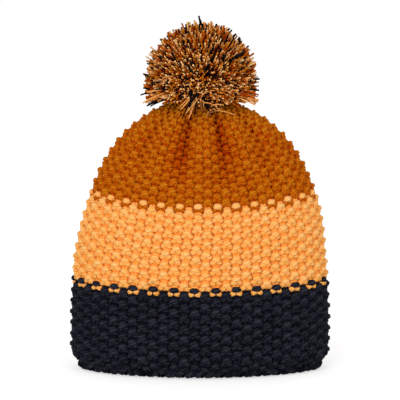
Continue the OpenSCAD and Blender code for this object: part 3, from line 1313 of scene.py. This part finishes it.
@dataclass
class Fastenings:
    """Drawstring, knots, tie and tails that close the crown and hold the pom."""

    draw_z: float = 0.236904
    draw_ring: float = 0.0101
    draw_radius: float = 0.0026
    draw_wave: float = 0.0008
    draw_waves: int = 12
    draw_steps: int = 96
    draw_knot: Vector = field(default_factory=lambda: Vector((0.0, 0.019439, 0.224657)))
    draw_knot_radius: float = 0.004
    anchor_z: float = 0.231617
    anchor_radius: float = 0.0085
    knot_turns: int = 5
    knot_waves: int = 3
    knot_lean: float = 0.62
    knot_swell: float = 1.02
    knot_steps: int = 150
    core_steps: int = 9
    core_least: float = 0.02
    end_length: float = 0.014
    end_tilt: float = math.radians(25)
    end_root: float = 0.3
    end_bend: float = 0.072
    end_sway: float = 0.0018
    end_fray: float = 0.12
    end_fray_from: float = 0.85
    end_steps: int = 12
    tie_radius: float = 0.0022
    tie_ring: float = 0.0055
    tie_half: float = 0.00198
    tie_steps: int = 97
    tail_x: float = 0.0025
    tail_sway: float = 0.0003
    tail_steps: int = 24
    pom_z: float = 0.258965
    path: YarnPath = field(default_factory=YarnPath)

    def build(self) -> None:
        """Make the drawstring, the two knots, the tails and the tie."""
        self.drawstring()
        knot = self.knot_runs(np.array(self.draw_knot), self.draw_knot_radius, self.draw_radius / 2)
        self.dress("drawstring_yarn_knot", knot, Dye.OCHRE, Body.HAT, "drawstring_knot")
        anchor = self.knot_runs(np.array([0.0, 0.0, self.anchor_z]), self.anchor_radius, self.tie_radius)
        self.dress("anchor_knot_cord", anchor, Dye.NAVY, Body.KNOT, "pom_anchor_knot")
        self.tails()
        self.tie()

    def dress(self, name: str, runs: Sequence[Run], dye: Dye, body: Body, node: str) -> None:
        """Make one piece of yarn, and give it its finish and body."""
        hand_over(put(name, self.path.mesh(name, runs, KNITTING[dye])), body, dye, node)

    def drawstring(self) -> None:
        """Make the ring of yarn through the last loops, which dips between them."""
        turn = np.linspace(0, TURN, self.draw_steps, endpoint=False)
        z = self.draw_z + self.draw_wave * np.sin(self.draw_waves * turn)
        points = np.stack([self.draw_ring * np.cos(turn), self.draw_ring * np.sin(turn), z], axis=1)
        radius = np.full(len(turn), self.draw_radius - self.draw_wave / 2)
        self.dress("drawstring_yarn", [(points, radius, True)], Dye.OCHRE, Body.HAT, "crown_drawstring")

    def knot_runs(self, middle: np.ndarray, size: float, end_radius: float) -> list[Run]:
        """Lengths of yarn of a knot: its wound ball, the core of the ball and the two cut ends.

        Args:
            middle: Middle of the ball.
            size: Radius of the ball.
            end_radius: Radius of the yarn.

        Returns:
            The lengths, for YarnPath.
        """
        t = np.linspace(0, TURN, self.knot_steps, endpoint=False)
        wind = size - end_radius
        lean = self.knot_lean * np.sin(self.knot_waves * t)
        turn = self.knot_turns * t
        ball = np.stack([np.cos(turn) * np.cos(lean), np.sin(lean), np.sin(turn) * np.cos(lean)], axis=1)
        runs = [(middle + wind * ball, np.full(self.knot_steps, end_radius * self.knot_swell), True)]
        core = np.linspace(-1, 1, self.core_steps)
        swell = np.sqrt(np.maximum(self.core_least, 1 - core**2))
        line = np.stack([np.zeros_like(core), core * wind, np.zeros_like(core)], axis=1)
        runs.append((middle + line, wind * swell, False))
        for side in (-1, 1):
            steps = np.linspace(self.end_root, 1, self.end_steps)
            reach = (size + self.end_length) * steps
            tilt = self.end_tilt + side * self.end_bend * np.sin(math.pi * steps)
            x = -side * np.sin(tilt) * reach
            y = side * self.end_sway * np.sin(4 * steps)
            points = np.stack([x, y, -np.cos(self.end_tilt) * reach], axis=1)
            fray = np.maximum(0, steps - self.end_fray_from) / (1 - self.end_fray_from)
            runs.append((middle + points, end_radius * (1 + self.end_fray * fray), False))
        return runs

    def tails(self) -> None:
        """Make the two tails of the tie, which run down through the eye to the anchor knot."""
        runs = []
        for side in (-1, 1):
            steps = np.linspace(0, 1, self.tail_steps)
            low, high = self.anchor_z + self.anchor_radius, self.pom_z - self.tie_half - self.tie_radius
            z = low + (high - low) * steps
            sway = self.tail_sway * np.sin(3 * math.pi * steps)
            points = np.stack([side * self.tail_x + sway, sway, z], axis=1)
            runs.append((points, np.full(self.tail_steps, self.tie_radius), False))
        self.dress("tie_cord_tails", runs, Dye.NAVY, Body.TAILS, "pom_tie_tails")

    def tie(self) -> None:
        """Make the two turns of cord round the pom's waist."""
        turn = np.linspace(0, 2 * TURN, self.tie_steps)
        z = self.pom_z + self.tie_half * (turn / TURN - 1)
        points = np.stack([self.tie_ring * np.cos(turn), self.tie_ring * np.sin(turn), z], axis=1)
        radius = np.full(self.tie_steps, self.tie_radius)
        self.dress("tie_cord", [(points, radius, False)], Dye.NAVY, Body.POM, "pom_tie")


class CutStrands(Graph):
    """Strands of a pom: they leave its waist in all directions, lean into tufts and end on its outline."""

    # Reach of the strands as shares of the pom's outline, with a few that stand out of it.
    REACH = 0.92
    STRAY_REACH = 0.08
    LONG_REACH = 0.05
    LONG_FROM = 0.965
    # Winding of a strand along its length, and where in the wave it starts.
    CURL_WAVE = 5.0
    CURL_STRAY = 3.0
    # Thickness of a strand from its root on, and its chance.
    ROOT_THICK = 0.45
    THICK_GAIN = 0.75
    STRAY_THICK = 0.18
    # Tone of a strand: chance, and painted shade that darkens it below its tip, which leaves the tip lighter.
    STRAY_SHADE = 0.9
    SHADE_GAIN = 14.0
    SHADE_FROM = 0.94
    # Tufts and clumps of one colour, as cells and patches on a ball of radius 1, and each colour's favour.
    TUFT_SCALE = 6.0
    SCATTER = 0.15
    CLUMP_SCALE = 7.0
    CLUMP_WEIGHT = 2.0
    CLUMP_SHIFT = (7.0, 3.0, 1.0)
    FAVOURS = (0.24, 0.16, 0.08)
    DYE_SEED = 20
    # Room for a strand over the crown, and the least share of the crown's height.
    STRAND_ROOM = 0.004
    LEAST_CROWN = 0.001

    def __init__(self) -> None:
        """Write the tree."""
        super().__init__("cut_strands")
        total = self.entry("Strands", Socket.WHOLE)
        points = self.entry("Points", Socket.WHOLE)
        sides = self.entry("Sides", Socket.WHOLE)
        radius = self.entry("Strand Radius")
        half_width = self.entry("Half Width")
        half_height = self.entry("Half Height")
        middle = self.entry("Middle Height")
        side = self.entry("Middle Side")
        heart = self.entry("Heart Height")
        root = self.entry("Root")
        tuft = self.entry("Tuft")
        bend = self.entry("Bend")
        curl = self.entry("Curl")
        droop = self.entry("Droop")
        peak = self.entry("Peak")
        sag = self.entry("Sag")
        lowest = self.entry("Lowest")
        highest = self.entry("Highest")
        facing = self.entry("Facing")
        spread = self.entry("Spread")
        wanted = self.entry("Dye Number", Socket.WHOLE)
        seed = self.entry("Seed", Socket.WHOLE)
        material = self.entry("Finish", Socket.MATERIAL)
        index = self.index()
        strand = (index / points).floor()
        s = (index - strand * points) / (points - 1)
        rise = 1.0 - 2.0 * (strand + 0.5) / total
        turn = strand * GOLDEN_ANGLE
        flat = (1.0 - rise * rise).most(0.0).root()
        way = self.vector(flat * turn.cos(), flat * turn.sin(), rise)
        stray = [self.stray(strand, seed + n) for n in range(6)]
        dx, dy, dz = self.parts(self.toward_tuft(way, tuft, stray))
        above = ((dx * dx + dy * dy).root() ** peak + dz.most(0.0) ** peak) ** (0.0 - 1.0 / peak)
        reach = self.REACH + self.STRAY_REACH * stray[3] + self.LONG_REACH * (stray[4] > self.LONG_FROM)
        reach = reach * above
        tip_x = half_width * dx * reach + side
        tip_y = half_width * dy * reach
        tip_z = middle + half_height * (dz.most(0.0) * reach + dz.least(0.0) * sag)
        share = root + (1.0 - root) * s
        wave = bend * s * s + curl * s * (self.CURL_WAVE * s + self.CURL_STRAY * stray[5]).sin()
        x = tip_x * share + wave * stray[0]
        y = tip_y * share + wave * stray[1]
        z = heart + (tip_z - heart) * share + wave * stray[2] - droop * s * s * flat
        z = z.most(self.crown_height(x, y))
        thick = (self.ROOT_THICK + self.THICK_GAIN * s).least(1.0) * (1.0 + self.STRAY_THICK * stray[5])
        # A random tone, with painted shade down the strand and painted light at its tip.
        shade = self.STRAY_SHADE * stray[4] + self.SHADE_GAIN * (s - self.SHADE_FROM)
        made = self.node("GeometryNodePoints", {"Count": total * points, "Position": self.vector(x, y, z)})
        made = self.stored(made, "thick", thick)
        made = self.stored(made, "shade", shade)
        made = self.stored(made, "strand", strand)
        dyed = self.math("COMPARE", self.dye_number(way, strand, seed), wanted, 0.5)
        sector = (turn - facing).cos() > spread
        keep = dyed * (rise > lowest) * (1.0 - (rise > highest)) * sector
        rest = {"Geometry": made, "Selection": 1.0 - keep}
        made = self.node("GeometryNodeDeleteGeometry", rest, domain="POINT")
        self.tubes(made, self.named("strand"), sides, radius, material)

    def toward_tuft(self, way: Field, tuft: Field, stray: Sequence[Field]) -> Field:
        """Lean a strand's direction toward the middle of its tuft, with a little scatter.

        Args:
            way: Direction of the strand's root.
            tuft: Share of the lean.
            stray: Random numbers of the strand.

        Returns:
            Direction of its tip.
        """
        cells = {"Vector": way, "Scale": self.TUFT_SCALE, "Randomness": 1.0}
        heart = self.node("ShaderNodeTexVoronoi", cells, "Position", feature="F1", voronoi_dimensions="3D")
        heart = self.node("ShaderNodeVectorMath", {0: heart}, operation="NORMALIZE")
        leaned = self.mixed(way, heart, tuft)
        scatter = self.vector(*(self.SCATTER * part for part in stray[:3]))
        leaned = self.node("ShaderNodeVectorMath", {0: leaned, 1: scatter}, operation="ADD")
        return self.node("ShaderNodeVectorMath", {0: leaned}, operation="NORMALIZE")

    def mixed(self, first: Field, second: Field, share: Field) -> Field:
        """Go from one vector to another by a share."""
        step = self.node("ShaderNodeVectorMath", {0: second, 1: first}, operation="SUBTRACT")
        return self.shifted(first, step, share)

    def crown_height(self, x: Field, y: Field) -> Field:
        """Height of the crown's outside under a place, with room for a strand."""
        shape = HatShape()
        power = 2 * math.log(shape.eye / shape.half_width) / math.log(shape.eye / shape.half_depth)
        across = (x / shape.half_width) ** 2.0 + (y.magnitude() / shape.half_depth) ** power
        return shape.top * (1.0 - across).most(self.LEAST_CROWN) ** (1 / shape.dome_power) + self.STRAND_ROOM

    def dye_number(self, way: Field, strand: Field, seed: Field) -> Field:
        """Choose each strand's colour: 0, 1 or 2, in small clumps.

        Args:
            way: Direction of the strand.
            strand: Its number.
            seed: Seed of the pom.

        Returns:
            The number of the colour.
        """
        scores = []
        for number, favour in enumerate(self.FAVOURS):
            step, *others = self.CLUMP_SHIFT
            shift = self.node("ShaderNodeVectorMath", {0: way, 1: (step * number, *others)}, operation="ADD")
            patches = {"Vector": shift, "Scale": self.CLUMP_SCALE, "Detail": 1.0}
            clump = self.node("ShaderNodeTexNoise", patches, "Fac")
            luck = self.chance(strand, seed + self.DYE_SEED + number)
            scores.append(luck + self.CLUMP_WEIGHT * clump + favour)
        second = (scores[1] > scores[0]) * (1.0 - (scores[2] > scores[1]))
        third = (scores[2] > scores[0]) * (scores[2] > scores[1])
        return second + 2.0 * third


class Sector(Enum):
    """Quarters of the pom's skirt, by the way they face."""

    FRONT = 1.5 * math.pi
    BACK = 0.5 * math.pi
    LEFT = math.pi
    RIGHT = 0.0

    @property
    def word(self) -> str:
        """Plain word for the quarter."""
        return self.name.lower()

    @property
    def across_nod(self) -> bool:
        """Whether the quarter lies in front or behind."""
        return self in (Sector.FRONT, Sector.BACK)


@dataclass(frozen=True)
class Tuft:
    """A few loose strands that lie the same way: on the skirt where they have a quarter, else on the ball."""

    name: str
    dye: Dye
    sector: Optional[Sector]
    count: int
    start: Place
    end: Place
    bulge: Place
    fan: float
    thick: float = 1.0
    steps: int = 9
    # Scatter of the roots as a share of the fan, ranges of the bulge and the thickness, and the taper.
    ROOT_FAN = 0.5
    BULGE_RANGE = (0.6, 1.4)
    THICK_RANGE = (0.9, 1.15)
    ROOT_THICK = 0.7
    THICK_GAIN = 0.6

    def runs(self, radius: float, seed: int) -> list[Run]:
        """Lay the strands.

        Args:
            radius: Radius of a strand.
            seed: Seed of their scatter.

        Returns:
            The strands, for YarnPath.
        """
        chance = np.random.default_rng(seed)
        steps = np.linspace(0, 1, self.steps)[:, None]
        arch = 4 * steps * (1 - steps)
        taper = np.minimum(1.0, self.ROOT_THICK + self.THICK_GAIN * steps[:, 0])
        start, end, bulge = np.array(self.start), np.array(self.end), np.array(self.bulge)
        made = []
        for _ in range(self.count):
            root = chance.uniform(-self.ROOT_FAN, self.ROOT_FAN, 3) * self.fan
            tip = chance.uniform(-1, 1, 3) * self.fan
            bow = bulge * chance.uniform(*self.BULGE_RANGE)
            line = start + root + (end - start + tip) * steps + bow * arch
            thick = self.thick * radius * chance.uniform(*self.THICK_RANGE) * taper
            made.append((line, thick, False))
        return made


LOOSE_STRANDS = (
    Tuft(
        "top", Dye.NAVY, None, 1,
        start=(0.0, 0.0, 0.285), end=(-0.001, -0.002, 0.3095),
        bulge=(0.001, 0.0, 0.0), fan=0.0, thick=1.5,
    ),
    Tuft(
        "hanging", Dye.NAVY, Sector.FRONT, 7,
        start=(-0.002, -0.03, 0.2425), end=(-0.010, -0.045, 0.2275),
        bulge=(0.0, -0.006, 0.003), fan=0.006,
    ),
    Tuft(
        "hanging", Dye.APRICOT, Sector.FRONT, 7,
        start=(-0.002, -0.03, 0.242), end=(-0.011, -0.0455, 0.2285),
        bulge=(0.002, -0.006, 0.003), fan=0.006,
    ),
    Tuft(
        "front", Dye.NAVY, Sector.FRONT, 9,
        start=(-0.0075, -0.036, 0.2465), end=(-0.0065, -0.0475, 0.2395),
        bulge=(0.0, -0.003, 0.001), fan=0.005,
    ),
    Tuft(
        "low", Dye.NAVY, Sector.FRONT, 9,
        start=(0.001, -0.036, 0.2385), end=(0.009, -0.0458, 0.2305),
        bulge=(0.0, -0.003, 0.001), fan=0.004,
    ),
    Tuft(
        "curled", Dye.APRICOT, Sector.FRONT, 5,
        start=(0.006, -0.036, 0.227), end=(0.021, -0.046, 0.237),
        bulge=(-0.004, -0.006, 0.004), fan=0.009,
    ),
    Tuft(
        "side", Dye.NAVY, Sector.LEFT, 4,
        start=(-0.02, -0.012, 0.2385), end=(-0.0445, -0.022, 0.2335),
        bulge=(0.0, 0.0, 0.002), fan=0.002, thick=1.4,
    ),
    Tuft(
        "side", Dye.APRICOT, Sector.LEFT, 7,
        start=(-0.012, -0.024, 0.2435), end=(-0.0435, -0.024, 0.2395),
        bulge=(0.0, -0.004, 0.003), fan=0.005, thick=1.3,
    ),
    Tuft(
        "edge", Dye.NAVY, Sector.LEFT, 2,
        start=(-0.03, -0.008, 0.2435), end=(-0.0505, -0.012, 0.2425),
        bulge=(0.0, 0.0, 0.001), fan=0.001, thick=1.5,
    ),
    Tuft(
        "side", Dye.OCHRE, Sector.RIGHT, 6,
        start=(0.016, -0.024, 0.2425), end=(0.0455, -0.024, 0.2375),
        bulge=(0.0, -0.004, 0.003), fan=0.005, thick=1.3,
    ),
    Tuft(
        "edge", Dye.APRICOT, Sector.RIGHT, 5,
        start=(0.022, -0.02, 0.2415), end=(0.0485, -0.02, 0.2365),
        bulge=(0.0, -0.003, 0.002), fan=0.004, thick=1.3,
    ),
)


@dataclass
class Pom:
    """Ball of cut yarn in three colours, with a soft skirt of strands that lies on the crown."""

    half_width: float = 0.0465
    half_height: float = 0.0445
    middle: float = 0.258965
    side: float = 0.001
    heart: float = 0.2445
    flat: float = 0.246965
    strands: int = 9500
    points: int = 7
    sides: int = 4
    radius: float = 0.00073
    loose_radius: float = 0.00048
    root: float = 0.12
    tuft: float = 0.6
    bend: float = 0.004
    curl: float = 0.0022
    droop: float = 0.002
    peak: float = 1.9
    sag: float = 0.5
    lowest: float = -0.9
    seed: int = 5
    skirt_low: float = 0.222
    skirt_high: float = 0.252
    loose_sides: int = 6
    # Limits that leave out no strand.
    NO_LIMITS: ClassVar[dict[str, float]] = {"Highest": 2.0, "Facing": 0.0, "Spread": -2.0}

    def values(self, number: int, dye: Dye) -> dict[str, Any]:
        """Inputs of the strands' tree for one colour."""
        return {
            "Strands": self.strands,
            "Points": self.points,
            "Sides": self.sides,
            "Strand Radius": self.radius,
            "Half Width": self.half_width,
            "Half Height": self.half_height,
            "Middle Height": self.middle,
            "Middle Side": self.side,
            "Heart Height": self.heart,
            "Root": self.root,
            "Tuft": self.tuft,
            "Bend": self.bend,
            "Curl": self.curl,
            "Droop": self.droop,
            "Peak": self.peak,
            "Sag": self.sag,
            "Dye Number": number,
            "Seed": self.seed,
            "Finish": CUT_YARN[dye].material(),
        }

    def build(self) -> None:
        """Grow the ball and then its skirt."""
        tree = CutStrands()
        host = bpy.data.meshes.new("pom_host")
        edge = (self.flat - self.middle) / self.half_height
        for number, dye in enumerate(Dye):
            ball = self.values(number, dye) | {"Lowest": edge} | self.NO_LIMITS
            piece = tree.grow(host, f"pom_ball_{dye.word}", ball)
            hand_over(piece, Body.POM, dye, f"pom_strands_{dye.word}")
            for sector in Sector:
                self.skirt(tree, host, number, dye, sector, edge)
        bpy.data.meshes.remove(host)
        for seed, tuft in enumerate(LOOSE_STRANDS):
            self.loosen(tuft, seed)

    def loosen(self, tuft: Tuft, seed: int) -> None:
        """Make one tuft of loose strands.

        Args:
            tuft: The tuft.
            seed: Seed of its scatter.
        """
        name = f"pom_loose_{tuft.name}_{tuft.dye.word}"
        runs = tuft.runs(self.loose_radius, seed)
        piece = put(name, YarnPath(self.loose_sides).mesh(name, runs, CUT_YARN[tuft.dye]))
        if tuft.sector is None:
            hand_over(piece, Body.POM, tuft.dye)
        else:
            self.hang(piece)

    def hang(self, piece: bpy.types.Object) -> None:
        """Bake a piece's place into its mesh, hide the skirt's solid and log the piece.

        Args:
            piece: The piece.
        """
        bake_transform(piece)
        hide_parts("pom_skirt_strands")
        report(piece)

    def skirt(
        self, tree: CutStrands, host: bpy.types.Mesh, number: int, dye: Dye, sector: Sector, edge: float
    ) -> None:
        """Grow one colour of one quarter of the skirt.

        Args:
            tree: The strands' tree.
            host: An empty mesh.
            number: Number of the colour.
            dye: The colour.
            sector: The quarter.
            edge: Highest rise of a strand's direction in the skirt.
        """
        quarter = {"Facing": sector.value, "Spread": math.cos(math.pi / 4)}
        strands = self.values(number, dye) | {"Lowest": self.lowest, "Highest": edge} | quarter
        piece = tree.grow(host, f"pom_skirt_{sector.word}_{dye.word}", strands)
        self.hang(piece)


@dataclass
class Studio:
    """Pale floor, soft light and the camera."""

    floor_size: float = 12.0
    floor_colour: Colour = (0.8, 0.8, 0.8)
    floor_lift: float = 0.5
    floor_roughness: float = 0.9
    world_light: float = 0.6
    distance: float = 1.6
    elevation: float = math.radians(6.3)
    view_width: float = 0.350
    sensor: float = 36.0
    far: float = 100.0
    lamp_angle: float = math.radians(50)
    target: Vector = field(default_factory=lambda: Vector((0.0, 0.0, 0.1491)))
    lamps: tuple[tuple[str, float, float, float], ...] = (
        ("key", -20.0, 16.0, 1.5),
        ("fill", 35.0, 12.0, 0.6),
    )

    def build(self) -> None:
        """Set up the studio."""
        scene = bpy.context.scene
        scene.view_settings.view_transform = "Standard"
        self.lay_floor()
        self.light_world(scene)
        for name, side, height, strength in self.lamps:
            self.hang_lamp(name, math.radians(side), math.radians(height), strength)
        self.set_camera(scene)

    @staticmethod
    def seen(sheet: ShaderSheet) -> bpy.types.NodeSocket:
        """Give 1 for rays that the camera sees straight, in a reflection or through glass."""
        path = sheet.tree.nodes.new("ShaderNodeLightPath").outputs
        total = sheet.math("MAXIMUM", path["Is Camera Ray"], path["Is Glossy Ray"])
        return sheet.math("MAXIMUM", total, path["Is Transmission Ray"])

    def lay_floor(self) -> None:
        """Make the floor, which keeps the hat's shadow."""
        half = self.floor_size / 2
        mesh = bpy.data.meshes.new("floor")
        corners = [(-half, -half, 0.0), (half, -half, 0.0), (half, half, 0.0), (-half, half, 0.0)]
        mesh.from_pydata(corners, [], [(0, 1, 2, 3)])
        material = bpy.data.materials.new("pale_floor")
        material.use_nodes = True
        sheet = ShaderSheet(material.node_tree)
        inputs = sheet.shader.inputs
        inputs["Base Color"].default_value = (*self.floor_colour, 1.0)
        inputs["Roughness"].default_value = self.floor_roughness
        inputs["Specular IOR Level"].default_value = 0.0
        inputs["Emission Color"].default_value = WHITE
        sheet.link(sheet.math("MULTIPLY", self.seen(sheet), self.floor_lift), inputs["Emission Strength"])
        mesh.materials.append(material)
        put("floor", mesh)

    def light_world(self, scene: bpy.types.Scene) -> None:
        """Make the world: even light, and white where it is seen."""
        world = bpy.data.worlds.new("studio_air")
        world.use_nodes = True
        sheet = ShaderSheet(world.node_tree)
        inputs = sheet.tree.nodes["Background"].inputs
        inputs["Color"].default_value = WHITE
        level = sheet.tree.nodes.new("ShaderNodeMapRange")
        level.inputs["To Min"].default_value = self.world_light
        level.inputs["To Max"].default_value = 1.0
        sheet.link(self.seen(sheet), level.inputs["Value"])
        sheet.link(level.outputs["Result"], inputs["Strength"])
        scene.world = world

    def hang_lamp(self, name: str, side: float, height: float, strength: float) -> None:
        """Hang one soft lamp.

        Args:
            name: Name of the lamp.
            side: Angle from the front toward the right.
            height: Angle above the floor.
            strength: Its strength.
        """
        light = bpy.data.lights.new(name, "SUN")
        light.energy = strength
        light.angle = self.lamp_angle
        lamp = bpy.data.objects.new(name, light)
        level = math.cos(height)
        toward = Vector((math.sin(side) * level, -math.cos(side) * level, math.sin(height)))
        lamp.rotation_euler = toward.to_track_quat("Z", "Y").to_euler()
        bpy.context.scene.collection.objects.link(lamp)

    def set_camera(self, scene: bpy.types.Scene) -> None:
        """Place the camera at the photograph's angle."""
        data = bpy.data.cameras.new("camera")
        data.sensor_width = self.sensor
        data.lens = self.sensor * self.distance / self.view_width
        data.clip_end = self.far
        camera = bpy.data.objects.new("camera", data)
        away = Vector((0.0, -math.cos(self.elevation), math.sin(self.elevation)))
        camera.location = self.target + self.distance * away
        camera.rotation_euler = away.to_track_quat("Z", "Y").to_euler()
        scene.collection.objects.link(camera)
        scene.camera = camera


def main() -> None:
    """Build the studio and the hat, piece by piece."""
    logging.basicConfig(level=logging.INFO, format="%(name)s: %(message)s")
    Studio().build()
    KnittedHat(HatForm()).build()
    Fastenings().build()
    Pom().build()


if __name__ == "__main__":
    main()
